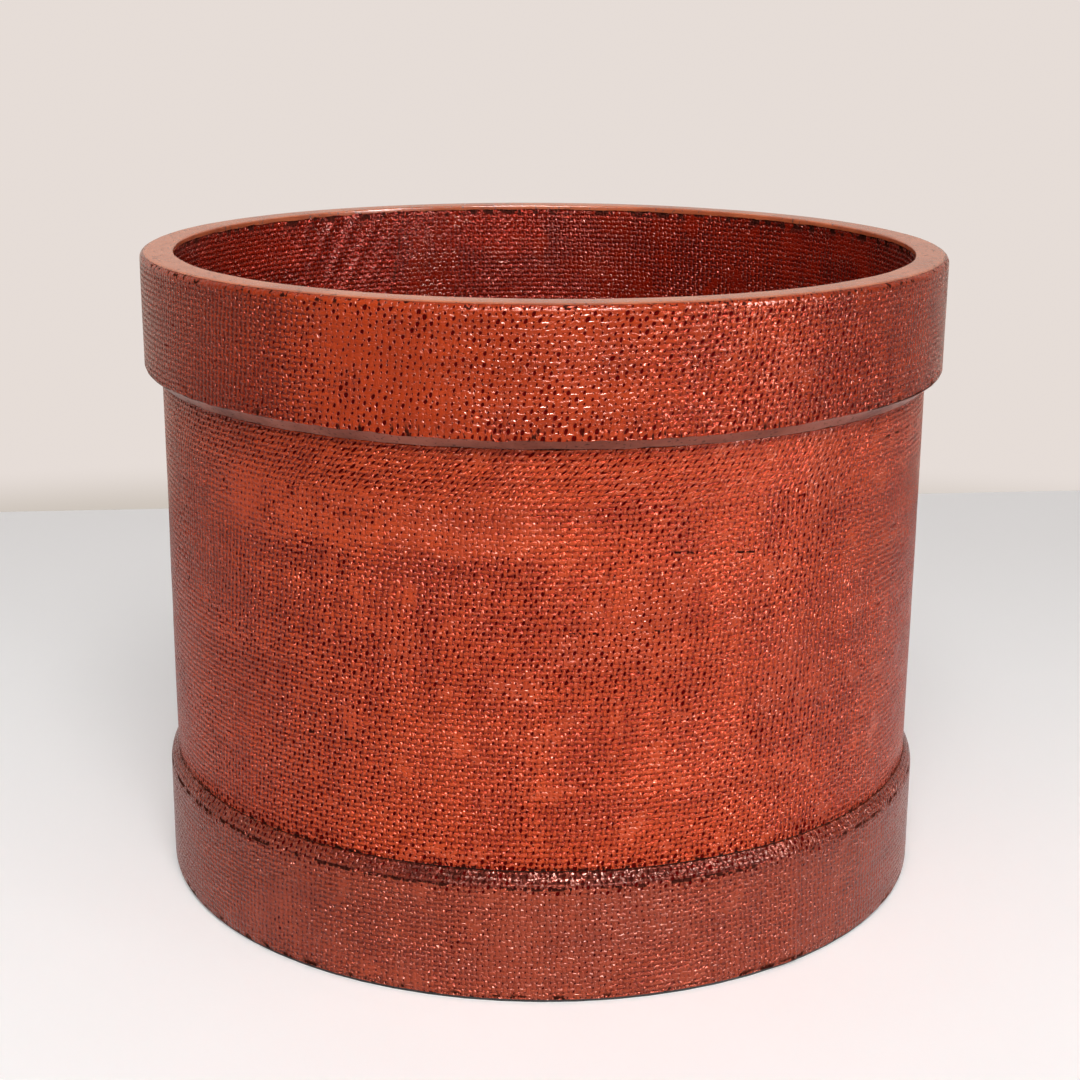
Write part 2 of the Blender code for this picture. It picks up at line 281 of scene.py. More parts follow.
# the cloth was laid by hand: its threads drift by up to 4 counts over a hand's width, and waver from one
# to the next
drift = mottle(weave_group, place, 9, 1, output="Color")
waver = mottle(weave_group, place, 150, 1, output="Color")
drifted = vector_maths(weave_group, "MULTIPLY_ADD", drift, (4.0, 1.0, 0), threads)
laid_by_hand = vector_maths(weave_group, "MULTIPLY_ADD", waver, (0.85, 0.50, 0), drifted)
round_count, up_count, _ = parts_of(weave_group, laid_by_hand)

# each thread is a ridge, high where it passes over and low where it passes under. The warp stands lower
# than the weft in front, and prouder in a strip to the right of it
round_wave = (round_count * math.pi).maths("COSINE")
up_wave = (up_count * math.pi).maths("COSINE")
warp_sway = (mottle(weave_group, place, 520, 1) - 0.5) * 0.5
weft_sway = (mottle(weave_group, place, 430, 1) - 0.5) * 0.6
warp_ridge = ((round_count + warp_sway) * math.pi).maths("COSINE").maths("POWER", 2)
weft_ridge = ((up_count + weft_sway) * math.pi).maths("COSINE").maths("POWER", 2)
weft_row = vector_of(weave_group, round_count * 0.12, up_count.maths("ROUND") * 3.7)
warp_row = vector_of(weave_group, round_count.maths("ROUND") * 3.7, up_count * 0.12, 5.0)
side = parts_of(weave_group, place)[0]
in_front = side.rising(-0.03, 0.0) * side.rising(0.045, 0.03)
to_the_right = side.rising(0.045, 0.055) * side.rising(0.085, 0.072)
warp_proud = mottle(weave_group, place, 30, 3).rising(0.40, 0.62) * 0.24 - 0.10
warp_proud = warp_proud - in_front * 0.10 + to_the_right * 0.10
swing = 0.34 + 0.28 * mottle(weave_group, place, 40, 2).rising(0.42, 0.58)
warp = warp_ridge * (0.8 + 0.4 * mottle(weave_group, warp_row, 1, 1))
warp = warp * (0.50 + warp_proud + swing * (up_wave * round_wave.maths("SIGN")))
weft = weft_ridge * (0.75 + 0.5 * mottle(weave_group, weft_row, 1, 1))
weft = weft * (0.58 - warp_proud - swing * (round_wave * up_wave.maths("SIGN")))
ridges = warp.maths("SMOOTH_MAX", weft, 0.12).rising(0.06, 0.76)

# the gaps between four crossings: large and small ones by turns, each leaning a little
gap_round = round_count.maths("FLOOR")
gap_up = up_count.maths("FLOOR")
small = (gap_round + gap_up).maths("FLOORED_MODULO", 2)
gap = vector_of(weave_group, gap_round, gap_up)
chance = node(weave_group, "TexWhiteNoise", "Color", noise_dimensions="2D", Vector=gap)
shift_round, shift_up, chance_size = parts_of(weave_group, chance)
open_here = mottle(weave_group, place, 34, 3).rising(0.24, 0.60)
worn_here = mottle(weave_group, place, 75, 2).rising(0.64, 0.74)
gap_size = hole_size * (0.55 + 0.6 * chance_size) * (0.5 + 0.5 * open_here + 0.4 * worn_here)
gap_size = gap_size * (1 - 0.5 * small)

# lacquer stands level in the low parts of the cloth, in blots and in patches a few threads wide
patch_place = vector_of(weave_group, gap_round * 0.21, gap_up * 0.17, 11.0)
patch = mottle(weave_group, patch_place, 1, 1).rising(0.62, 0.66) * side.rising(-0.085, -0.04)
filling = filling.maths("MAXIMUM", patch * 0.75)
gap_size = gap_size * (1 - 0.25 * patch)

# a hole is an upright oval about the middle of its gap, with a ragged edge: from_edge is 0 on that edge
from_middle_up = up_count.maths("FRACT") - 0.5 + (shift_up - 0.5) * 0.45
from_middle_round = round_count.maths("FRACT") - 0.5 + (shift_round - 0.5) * 0.45
from_middle_round = (from_middle_round + from_middle_up * (0.3 * small - 0.15)) * 4.5
from_middle_up = from_middle_up * 2.8
distance = (from_middle_round * from_middle_round + from_middle_up * from_middle_up).maths("SQRT")
from_edge = distance + (mottle(weave_group, place, 1500, 1) - 0.5) * 0.5 - gap_size
hole = from_edge.rising(0.04, -0.16)
hollow = from_edge.rising(0.45, -0.15) * (0.35 + 0.65 * gap_size).maths("MINIMUM", 1)


def off_middle(count):
    """How far a place lies from the middle between two threads, from 0 to 0.5 of a thread."""
    return (count.maths("FRACT") - 0.5).maths("ABSOLUTE")


# black dashes, level and upright, where a gap between two threads stayed open for a few stitches
dash_row = vector_of(weave_group, round_count * 0.4, gap_up * 5.3, 4.0)
dash = mottle(weave_group, dash_row, 1, 1).rising(0.68, 0.74) * off_middle(up_count).rising(0.2, 0.08)
post_row = vector_of(weave_group, gap_round * 4.7, up_count * 0.4, 9.0)
post = mottle(weave_group, post_row, 1, 1).rising(0.72, 0.77) * off_middle(round_count).rising(0.16, 0.06)
missed = dash.maths("MAXIMUM", post) * (open_here + worn_here).rising(0.3, 0.9) * (1 - filling)

# the coat: level in the low parts, a lip of lacquer round each hole, and the cloth's fine crinkle on top
coated = ridges.maths("SMOOTH_MAX", 0.12, 0.3)
coated = coated + (0.95 - coated) * (filling * 0.75)
lip = from_edge.rising(-0.05, 0.15) * from_edge.rising(0.55, 0.25) * gap_size.rising(0.15, 0.5)
crinkle = (mottle(weave_group, place, 1300, 3) - 0.5) * (0.66 - 0.52 * filling)
close_group(
    weave_group,
    Height=coated + crinkle + lip * 0.28 - hollow * 0.95 - missed * 0.6,
    Hole=hole.maths("MAXIMUM", missed),
)

# colour clouds that follow the threads, as where the brush left more or less lacquer
coat_group, (threads, place) = new_group(
    "brushed_lacquer", {"Threads": "Vector", "Place": "Vector"}, ("Depth", "Gloss")
)
round_count, up_count, _ = parts_of(coat_group, threads)
weft_strokes = vector_of(coat_group, round_count * 0.03, up_count * 0.22, 3.0)
warp_strokes = vector_of(coat_group, round_count * 0.22, up_count * 0.03, 7.0)
along_weft = mottle(coat_group, weft_strokes, 1, 3)
along_warp = mottle(coat_group, warp_strokes, 1, 3)
clouds = mottle(coat_group, place, 30, 5, 0.65)
close_group(
    coat_group,
    Depth=(along_weft * 0.8 + along_warp * 0.7 + clouds * 0.6).rising(0.85, 1.35),
    Gloss=mottle(coat_group, place, 260, 3),
)

# undercoat that shows in the holes, and undercoat that is rubbed bare
MAROON_BLACK = (0.045, 0.0008, 0.0005)
BARE_UNDERCOAT = (0.016, 0.003, 0.002)


def lacquered_cloth(
    name, bright, deep, relief, roughness, holes, filling=0.0, worn=None, shade=None, dark=MAROON_BLACK
):
    """Lacquer brushed over hemp. bright lies on the threads, deep between them and dark shows in the holes.

    relief is the height of the weave in metres. holes, filling, worn and shade each take the tree and the
    place, and give how large the holes are, where the lacquer fills the weave, where it is rubbed off to the
    undercoat, and where it is darker, by the coat's own tone and by painted shade. holes and filling may be
    plain numbers instead.
    """
    material, tree, shader = finish(name)
    place = object_place(tree)
    threads = node(tree, "UVMap", 0, uv_map="threads")
    hole_size, filled = [value(tree, place) if callable(value) else value for value in (holes, filling)]
    height, hole = place_group(
        tree, weave_group, Threads=threads, Place=place, Hole_Size=hole_size, Filling=filled
    )
    depth, gloss = place_group(tree, coat_group, Threads=threads, Place=place)
    if shade:
        depth = depth + shade(tree, place)
    # the weave's low parts take the deep coat: partly lacquer pooled there, partly painted shade in the
    # hollows
    low = height.rising(0.70, 0.14)
    share = (depth * 0.36 + low * 0.70 + 0.06).maths("MINIMUM", 1).maths("MAXIMUM", 0)
    coat = blend(tree, share, bright, deep)
    # the holes show the maroon-black undercoat, and the deepest grooves are painted dark too, as painted
    # shade. Past a depth of 1.7 the coat also turns dark, which makes the painted shadow under the rim's
    # strip and the darkest front of the foot's ledge
    black = hole.maths("MAXIMUM", height.rising(0.12, -0.40) * 0.6)
    black = black.maths("MAXIMUM", depth.rising(1.7, 3.0) * 0.8)
    coat = blend(tree, black, coat, dark)
    if worn:
        rubbed = worn(tree, place)
        coat = blend(tree, rubbed, coat, BARE_UNDERCOAT)
        hole = hole.maths("MAXIMUM", rubbed)
    plug(coat, shader["Base Color"])
    plug(roughness + gloss * 0.08 + hole * 0.60 + low * 0.20, shader["Roughness"])
    # the low parts are made half metallic, so that their gloss is dimmed as painted shade
    plug(hole.maths("MAXIMUM", low * 0.5), shader["Metallic"])
    shader["Specular IOR Level"].default_value = 0.30
    shader["Specular Tint"].default_value = (1, 0.64, 0.54, 1)
    plug(node(tree, "Bump", 0, Distance=relief, Strength=1.0, Height=height), shader["Normal"])
    return material


def outline_of(*corners):
    """A closed outline of points, each a radius and a height.

    A corner gives its radius, its height, its rounding and how long the cuts are on the run after it. A run
    whose cuts are 0 long stays whole.
    """
    points = []
    for index, (radius, height, rounding, cut) in enumerate(corners):
        here = Vector((radius, height))
        before = Vector(corners[index - 1][:2])
        *after, next_rounding, _ = corners[(index + 1) % len(corners)]
        after = Vector(after)
        start = here + (before - here).normalized() * rounding
        end = here + (after - here).normalized() * rounding
        bend = [here]
        if rounding:
            bend = [start.lerp(here, t).lerp(here.lerp(end, t), t) for t in (0, 0.2, 0.4, 0.6, 0.8, 1)]
        points += bend
        run_end = after
        if next_rounding:
            run_end = after + (bend[-1] - after).normalized() * next_rounding
        steps = max(1, round((run_end - bend[-1]).length / cut)) if cut else 1
        points += [bend[-1].lerp(run_end, step / steps) for step in range(1, steps)]
    return points


# stations round the bucket, one every 1.1 mm on the wall
ROUND_STEPS = 640


def turned(name, outline, unevenness, threads_round=0, thread_pitch=1.0, seam=0.0, pulled=None):
    """A closed solid turned round the axis, with a map of its threads that starts at the seam's angle.

    unevenness takes an angle, a radius and a height and gives how far the point moves out and up. pulled
    takes an angle and a height and gives how many threads the cloth was pulled sideways there.
    """
    points = []
    for step in range(ROUND_STEPS):
        angle = seam + math.tau * step / ROUND_STEPS
        way = Vector((math.cos(angle), math.sin(angle), 0))
        for radius, height in outline:
            out, up = unevenness(angle, radius, height)
            points.append(way * (radius + out) + Vector((0, 0, height + up)))
    count = len(outline)
    lengths = [0.0]
    for here, there in zip(outline, outline[1:] + outline[:1]):
        lengths.append(lengths[-1] + (there - here).length)
    faces = []
    threads = []
    for step in range(ROUND_STEPS):
        here = step * count
        there = (step + 1) % ROUND_STEPS * count
        for row in range(count):
            after = (row + 1) % count
            faces.append((here + row, there + row, there + after, here + after))
            for turn, level in ((step, row), (step + 1, row), (step + 1, row + 1), (step, row + 1)):
                u = threads_round * turn / ROUND_STEPS
                if pulled:
                    u += pulled(seam + math.tau * turn / ROUND_STEPS, outline[level % count].y)
                threads.append((u, lengths[level] / thread_pitch))
    mesh = bpy.data.meshes.new(name)
    mesh.from_pydata(points, [], faces)
    if threads_round:
        layer = mesh.uv_layers.new(name="threads")
        layer.data.foreach_set("uv", [number for pair in threads for number in pair])
    mesh.shade_smooth()
    made = bpy.data.objects.new(name, mesh)
    bpy.context.collection.objects.link(made)
    return made


def cloud(angle, height, size, seed):
    """Smooth noise on the wall, from -1 to 1, in lumps of a size. Each seed gives other lumps."""
    spot = Vector((math.cos(angle) * BODY_RADIUS, math.sin(angle) * BODY_RADIUS, height))
    return noise.noise(spot / size + Vector((0, 0, seed * 17.3)))


def lap_step(angle, seam, length, thickness):
    """How far a cloth stands out over its own start: a long rise, then a sharp edge at the seam."""
    short = (seam - angle) % math.tau * BODY_RADIUS
    if short > length:
        return 0.0
    return thickness * min(1.0, (length - short) / (0.6 * length))


# hemp with 6 to 7 threads to the centimetre, and how far its lapped end stands out
THREAD_PITCH = 0.0016
LAP_THICKNESS = 0.0004
WALL_CLOTH_SEAM = math.radians(128)


def wall_unevenness(angle, radius, height):
    """Lumps 45 mm and 12 mm long on the cloth's face, and its lap. Its back lies true to the board."""
    if radius < 0.1149:
        return 0.0, 0.0
    out = 0.00022 * cloud(angle, height, 0.045, 1) + 0.00008 * cloud(angle, height, 0.012, 2)
    return out + lap_step(angle, WALL_CLOTH_SEAM, 0.014, LAP_THICKNESS), 0.0


def pulled_at_top(angle, height):
    """The wall's cloth leans to the right a little, and far more where it was pulled tight under the rim."""
    lean = (height - 0.095) / THREAD_PITCH * 0.06
    tight = max(0.0, height - 0.1385) / THREAD_PITCH * (0.55 + 0.15 * math.sin(angle * 3 + 0.5))
    return -lean - tight


def turn_of(tree, place):
    """How far round from the front a place is, in radians, growing to the right."""
    x, y, _ = parts_of(tree, place)
    return x.maths("ARCTAN2", 0 - y)


def brush_stroke(tree, place):
    """A broad stroke of lacquer that filled the weave, left of the front."""
    stray = mottle(tree, place, 60, 3) - 0.5
    level = parts_of(tree, place)[2] + stray * 0.012
    turn = turn_of(tree, place) + stray * 0.12
    broken = mottle(tree, place, 130, 2).rising(0.34, 0.46)
    stroke = level.rising(0.122, 0.127) * level.rising(0.144, 0.136)
    stroke = stroke * turn.rising(-0.95, -0.80) * turn.rising(0.10, -0.06)
    return stroke * broken


def wall_filling(tree, place):
    """The brush stroke, and blots everywhere but at the far left."""
    blots = mottle(tree, place, 30, 2).rising(0.56, 0.70) * turn_of(tree, place).rising(-0.75, -0.30)
    return (brush_stroke(tree, place) * 0.55).maths("MAXIMUM", blots * 0.6)


def wall_holes(tree, place):
    """The holes are largest in front, small in the brush stroke, and wide open just above the ledge."""
    height = parts_of(tree, place)[2]
    turn = turn_of(tree, place)
    front = turn.rising(-0.75, -0.35) * turn.rising(1.0, 0.7)
    left = turn.rising(-0.30, -0.50)
    crease = mottle(tree, place, 200, 2).rising(0.30, 0.55) * height.rising(0.0425, 0.0390)
    return 0.74 + left * 0.25 + front * 0.24 - brush_stroke(tree, place) * 0.3 + crease * 0.9


def wall_tone_and_shade(tree, place):
    """The stroke's lower edge is thick and bright, and the coat is deep below it and a little to the left.
    The sides are darker, painted shade where the light falls off, and the wall's top just under the rim's
    strip is near-black, a painted shadow.
    """
    x, _, z = parts_of(tree, place)
    stray = (mottle(tree, place, 50, 3) - 0.5) * 0.014
    level = z + stray
    turn = turn_of(tree, place) + stray * 15
    across = x + stray
    edge = level.rising(0.1215, 0.1245) * level.rising(0.133, 0.128)
    edge = edge * across.rising(-0.085, -0.06) * across.rising(0.03, 0.0)
    below = level.rising(0.114, 0.119) * level.rising(0.1235, 0.121) * across.rising(0.0, -0.03)
    # painted shade: the coat is deepened towards both sides, where the light falls off
    sides = turn.rising(-0.40, -0.85) + turn.rising(0.45, 0.90)
    # painted shadow under the rim's strip: the top of the wall cloth is deepened towards black
    shaded = z.rising(0.1512, 0.1526) - z.rising(0.136, 0.144) * 0.25
    left = turn.rising(0.10, -0.30)
    return below * 0.25 + left * 0.15 + sides * 0.30 + shaded - edge * 0.2


# each long gap's start and end round the wall, in radians from the front, and its height at either end
LONG_GAPS = (
    (0.19, 0.64, 0.1262, 0.1212),
    (0.03, 0.30, 0.1045, 0.1040),
    (-0.62, -0.35, 0.0700, 0.0705),
    (0.95, 1.20, 0.1460, 0.1455),
)


def open_threads(tree, place):
    """Long gaps beside a thread that stayed black, and the crease above the foot's ledge."""
    z = parts_of(tree, place)[2]
    angle = turn_of(tree, place)
    broken = mottle(tree, place, 480, 2).rising(0.53, 0.58)
    black = z.rising(0.0390, 0.0383) * mottle(tree, place, 500, 2).rising(0.52, 0.58)
    for start, end, low, high in LONG_GAPS:
        level = (angle - start) * ((high - low) / (end - start)) + low
        near = (z - level).maths("ABSOLUTE").rising(0.00050, 0.00022)
        within = angle.rising(start, start + 0.02) * angle.rising(end, end - 0.02)
        black = black.maths("MAXIMUM", near * within * broken)
    return black


outside_wall_cloth = turned(
    "outside_wall_lacquered_cloth",
    outline_of(
        (0.11445, 0.03810, 0, 0),
        (0.11500, 0.03782, 0.0001, 0.0025),
        (0.11500, 0.15300, 0.0002, 0),
        (0.11445, 0.15300, 0, 0),
    ),
    wall_unevenness,
    threads_round=430,
    thread_pitch=THREAD_PITCH,
    seam=WALL_CLOTH_SEAM,
    pulled=pulled_at_top,
)
outside_wall_cloth.data.materials.append(
    lacquered_cloth(
        "wall_cloth_lacquer",
        bright=(0.60, 0.070, 0.017),
        deep=(0.21, 0.012, 0.003),
        relief=0.00054,
        roughness=0.11,
        holes=wall_holes,
        filling=wall_filling,
        worn=open_threads,
        shade=wall_tone_and_shade,
    )
)
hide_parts("outside_wall_cloth")
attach(outside_wall_cloth, "root")

# Rim band cloth
# A coarser strip of the same hemp, wrapped round the rim hoop and trimmed at its lower edge.
RIM_CLOTH_SEAM = math.radians(48)


def rim_unevenness(angle, radius, height):
    """Lumps on the strip's face, its lap, and a lower edge that was trimmed by eye."""
    if radius < 0.1197:
        return 0.0, 0.0
    out = 0.00016 * cloud(angle, height, 0.035, 3) + 0.00006 * cloud(angle, height, 0.010, 4)
    up = 0.0
    if height < 0.1585:
        up = 0.00030 * cloud(angle, 0, 0.009, 5) + 0.00032 * cloud(angle, 0, 0.003, 6)
        up += 0.0006 * math.cos(2 * angle)
    if height > 0.1894:
        out *= 0.5
    return out + lap_step(angle, RIM_CLOTH_SEAM, 0.012, LAP_THICKNESS), up


def frayed_edge(tree, place):
    """Black undercoat, in short upright streaks on the trimmed lower edge and in specks on the upper one."""
    x, y, height = parts_of(tree, place)
    streaks = mottle(tree, vector_of(tree, x, y, height * 0.35), 420, 3).rising(0.60, 0.65)
    low = streaks * height.rising(0.1605, 0.1575)
    high = mottle(tree, place, 600, 3).rising(0.58, 0.63) * height.rising(0.1882, 0.1890)
    return low.maths("MAXIMUM", high)


def rim_filling(tree, place):
    """The coat is thick in front, and so is the lacquer that ran over the rim's edge."""
    height = parts_of(tree, place)[2]
    turn = turn_of(tree, place) + (mottle(tree, place, 30, 3) - 0.5) * 0.3
    front = turn.rising(-0.62, -0.40) * turn.rising(0.34, 0.10) + turn.rising(0.75, 0.95) * 0.5
    front = front * mottle(tree, place, 70, 2).rising(0.25, 0.5)
    return (front * 0.9).maths("MAXIMUM", height.rising(0.1880, 0.1888))


def rim_holes(tree, place):
    """The holes are large in front, and largest near both edges of the band."""
    height = parts_of(tree, place)[2] + (mottle(tree, place, 60, 2) - 0.5) * 0.006
    turn = turn_of(tree, place)
    front = turn.rising(-0.75, -0.45) * turn.rising(1.05, 0.75)
    edges = height.rising(0.1630, 0.1585) + height.rising(0.1840, 0.1870)
    return 0.60 + front * 0.44 + edges * 0.22 - height.rising(0.1880, 0.1888) * 0.6


def rim_side_shade(tree, place):
    """The rim band's coat is a little deeper all round, and darker to the left and to the right of its front,
    painted shade where the light falls off.
    """
    turn = turn_of(tree, place) + (mottle(tree, place, 25, 3) - 0.5) * 0.4
    # painted shade at both sides of the band's front, over a slight deepening all round
    return 0.15 + turn.rising(-0.40, -0.80) * 0.8 + turn.rising(0.50, 0.80) * 0.8


rim_cloth = turned(
    "rim_band_lacquered_cloth",
    outline_of(
        (0.11945, 0.15690, 0, 0),
        (0.12000, 0.15680, 0.0003, 0.0022),
        (0.12000, 0.19028, 0.0020, 0),
        (0.11830, 0.19030, 0, 0),
        (0.11840, 0.18965, 0, 0),
        (0.11945, 0.18945, 0, 0),
    ),
    rim_unevenness,
    threads_round=438,
    thread_pitch=0.00162,
    seam=RIM_CLOTH_SEAM,
    pulled=lambda angle, height: 2 * math.sin(2 * angle) - (height - 0.17) / THREAD_PITCH * 0.1,
)
rim_cloth.data.materials.append(
    lacquered_cloth(
        "rim_cloth_lacquer",
        bright=(0.52, 0.053, 0.010),
        deep=(0.17, 0.009, 0.002),
        relief=0.00048,
        roughness=0.09,
        holes=rim_holes,
        filling=rim_filling,
        worn=frayed_edge,
        shade=rim_side_shade,
    )
)
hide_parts("rim_hoop_cloth")
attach(rim_cloth, "root")

# Foot band cloth
# Hemp again, over the foot hoop's face and up over its planed ledge, where it meets the wall's cloth.
FOOT_CLOTH_SEAM = math.radians(-52)


def foot_unevenness(angle, radius, height):
    """Lumps on the cloth's face and ledge, and its lap. Its back lies true to the band."""
    if radius < 0.1149 or (radius < 0.1170 and height < 0.033):
        return 0.0, 0.0
    out = 0.00014 * cloud(angle, height, 0.035, 7) + 0.00006 * cloud(angle, height, 0.010, 8)
    return out + lap_step(angle, FOOT_CLOTH_SEAM, 0.011, LAP_THICKNESS), 0.0


def foot_filling(tree, place):
    """The coat is thicker than the wall's, in blots, and thickest on the ledge."""
    blots = mottle(tree, place, 30, 2).rising(0.45, 0.62)
    return 0.15 + blots * 0.45 + parts_of(tree, place)[2].rising(0.0338, 0.0345) * 0.2


def foot_holes(tree, place):
    """The weave stands open in the rows above and below the ledge, where the lacquer ran together."""
    height = parts_of(tree, place)[2]
    return 0.64 + height.rising(0.0305, 0.0330) * 0.60


def foot_tone_and_shade(tree, place):
    """The coat is deepest on the front of the ledge. The band is darker at its sides than in front, painted
    shade where the light falls off.
    """
    turn = turn_of(tree, place) + (mottle(tree, place, 25, 3) - 0.5) * 0.4
    # painted shade: the band's sides are deepened, where the light falls off
    sides = turn.rising(-0.25, -0.70) + turn.rising(0.40, 0.85)
    ledge = parts_of(tree, place)[2].rising(0.0330, 0.0345)
    return ledge * (1.7 - sides * 1.4) + sides * 0.45


def ledge_specks(tree, place):
    """The ledge's outer edge is rubbed to the black undercoat in specks and short lines, and so is the foot.

    On the ledge itself the black shows between the threads in front, and hardly at the sides.
    """
    height = parts_of(tree, place)[2]
    turn = turn_of(tree, place)
    front = turn.rising(-0.55, -0.20) * turn.rising(0.55, 0.20)
    line = height.rising(0.0328, 0.0332) * height.rising(0.0343, 0.0338)
    stretches = mottle(tree, place, 130, 2).rising(0.40, 0.50) + 0.1
    edge = stretches * line * mottle(tree, place, 700, 2).rising(0.42, 0.50)
    gaps = mottle(tree, place, 620, 2).rising(0.50, 0.55) * height.rising(0.0343, 0.0348)
    crease = mottle(tree, place, 800, 2).rising(0.52, 0.58) * height.rising(0.0369, 0.0374)
    foot = mottle(tree, place, 300, 3).rising(0.52, 0.58) * height.rising(0.0035, 0.0018)
    black = edge.maths("MAXIMUM", gaps * (0.12 + 0.78 * front))
    return black.maths("MAXIMUM", crease).maths("MAXIMUM", foot).maths("MINIMUM", 1)


foot_cloth = turned(
    "foot_band_lacquered_cloth",
    outline_of(
        (0.11682, 0.00105, 0, 0),
        (0.11720, 0.00100, 0.0002, 0),
        (0.11740, 0.00260, 0.0005, 0.0022),
        (0.11740, 0.03400, 0.0018, 0.0006),
        (0.11500, 0.03770, 0.0003, 0),
        (0.11445, 0.03730, 0, 0),
        (0.11682, 0.03340, 0, 0),
    ),
    foot_unevenness,
    threads_round=432,
    thread_pitch=0.00153,
    seam=FOOT_CLOTH_SEAM,
)
foot_cloth.data.materials.append(
    lacquered_cloth(
        "foot_cloth_lacquer",
        bright=(0.36, 0.053, 0.020),
        deep=(0.15, 0.014, 0.007),
        relief=0.00058,
        roughness=0.05,
        holes=foot_holes,
        filling=foot_filling,
        worn=ledge_specks,
        shade=foot_tone_and_shade,
    )
)
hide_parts("foot_hoop_cloth")
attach(foot_cloth, "root")

# Inside wall cloth
# The lining is hemp too, laid in one strip with its end lapped over its start. Near that lap, under the
# rim, it rucks up in folds. Its vermilion is deeper than the outside's.
LINING_SEAM = math.radians(118.3)


def lining_unevenness(angle, radius, height):
    """Lumps on the lining's face, its lap, and folds 9 mm apart that stand inwards up to 0.9 mm near it."""
    if radius > 0.1110:
        return 0.0, 0.0
    out = 0.00022 * cloud(angle, height, 0.030, 9) + 0.00008 * cloud(angle, height, 0.009, 10)
    out -= lap_step(angle, LINING_SEAM, 0.016, 0.0006)
    beside = max(0.0, 1 - abs(angle - math.radians(128)) / 0.28)
    under_rim = max(0.0, min(1.0, (height - 0.150) / 0.02))
    along = (angle - math.radians(118)) * 0.11
    fold = math.sin(along / 0.009 * math.tau + (height - 0.15) * 420)
    return out - beside * under_rim * 0.0009 * max(0.0, fold) ** 1.5, 0.0


def rubbed_top(tree, place):
    """The lining is rubbed through to black in places just below the rim, and along the edge of its lap."""
    x, y, height = parts_of(tree, place)
    top = mottle(tree, place, 300, 3).rising(0.50, 0.56) * height.rising(0.1845, 0.1880)
    angle = y.maths("ARCTAN2", x) + (height - 0.17) * 1.6
    lap = (angle - LINING_SEAM).maths("ABSOLUTE").rising(0.0062, 0.0030)
    lap = lap * mottle(tree, place, 400, 2).rising(0.38, 0.46)
    return top.maths("MAXIMUM", lap * 0.85)


def lining_tone(tree, place):
    """Two patches near the rim, at the back and to its left, kept a brighter coat."""
    x, y, height = parts_of(tree, place)
    stray = mottle(tree, place, 45, 3) - 0.5
    angle = y.maths("ARCTAN2", x) + stray * 0.5
    level = height + stray * 0.020
    left = angle.rising(2.36, 2.46) * angle.rising(2.98, 2.88) * level.rising(0.170, 0.176)
    back = angle.rising(1.50, 1.58) * angle.rising(1.86, 1.78) * level.rising(0.173, 0.178)
    return 0.3 - left * 0.9 - back * 0.8


lining = turned(
    "inside_wall_lacquered_cloth",
    outline_of(
        (0.11125, 0.18930, 0, 0),
        (0.11070, 0.18930, 0.0002, 0.0022),
        (0.11070, 0.02765, 0.0002, 0),
        (0.11125, 0.02765, 0, 0),
    ),
    lining_unevenness,
    threads_round=424,
    thread_pitch=THREAD_PITCH,
    seam=LINING_SEAM,
)
lining.data.materials.append(
    lacquered_cloth(
        "lining_lacquer",
        bright=(0.34, 0.015, 0.003),
        deep=(0.095, 0.002, 0.001),
        relief=0.00042,
        roughness=0.06,
        holes=0.55,
        filling=lambda tree, place: mottle(tree, place, 40, 2).rising(0.50, 0.66) * 0.8,
        worn=rubbed_top,
        shade=lining_tone,
    )
)
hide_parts("inside_wall_cloth")
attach(lining, "root")

# Floor cloth and underside cloth
# Round pieces of hemp on both faces of the bottom board, vermilion inside and plain black underneath.

# rings in a round cloth's bare face, one every 1.7 mm, and stations round each
DISC_ROWS = 60
DISC_STEPS = ROUND_STEPS // 2


def disc(name, radius, bottom, top, seed, bare):
    """A closed round cloth. bare is its "top" or "bottom", the face that isn't glued and is a little uneven.

    Its threads run straight across it.
    """
    rows = [radius * row / DISC_ROWS for row in range(1, DISC_ROWS + 1)]
    bm = bmesh.new()
    rings = {}
    for side, height in (("bottom", bottom), ("top", top)):
        middle = bm.verts.new((0, 0, height))
        rings[side] = [[middle]]
        for ring_radius in rows if side == bare else rows[-1:]:
            ring = []
            for step in range(DISC_STEPS):
                angle = math.tau * step / DISC_STEPS
                x, y = ring_radius * math.cos(angle), ring_radius * math.sin(angle)
                sag = 0.0
                if side == bare and ring_radius < rows[-1]:
                    spot = Vector((x, y, seed))
                    sag = 0.00025 * noise.noise(spot / 0.03) + 0.00008 * noise.noise(spot / 0.008)
                ring.append(bm.verts.new((x, y, height + sag)))
            rings[side].append(ring)
        for here, there in zip(rings[side], rings[side][1:]):
            for step in range(len(there)):
                after = (step + 1) % len(there)
                if len(here) == 1:
                    bm.faces.new((here[0], there[step], there[after]))
                else:
                    bm.faces.new((here[step], there[step], there[after], here[after]))
    low, high = rings["bottom"][-1], rings["top"][-1]
    for step in range(len(low)):
        after = (step + 1) % len(low)
        bm.faces.new((low[step], low[after], high[after], high[step]))
    bmesh.ops.recalc_face_normals(bm, faces=bm.faces)
    layer = bm.loops.layers.uv.new("threads")
    for face in bm.faces:
        for loop in face.loops:
            loop[layer].uv = (loop.vert.co.x / 0.00163, loop.vert.co.y / THREAD_PITCH)
    mesh = bpy.data.meshes.new(name)
    bm.to_mesh(mesh)
    bm.free()
    mesh.shade_smooth()
    mesh.set_sharp_from_angle(angle=math.radians(60))
    made = bpy.data.objects.new(name, mesh)
    bpy.context.collection.objects.link(made)
    return made


# the bottom board's beds, where the cloths and the putty begin
FLOOR_BED = 0.02035
UNDERSIDE_BED = 0.01165

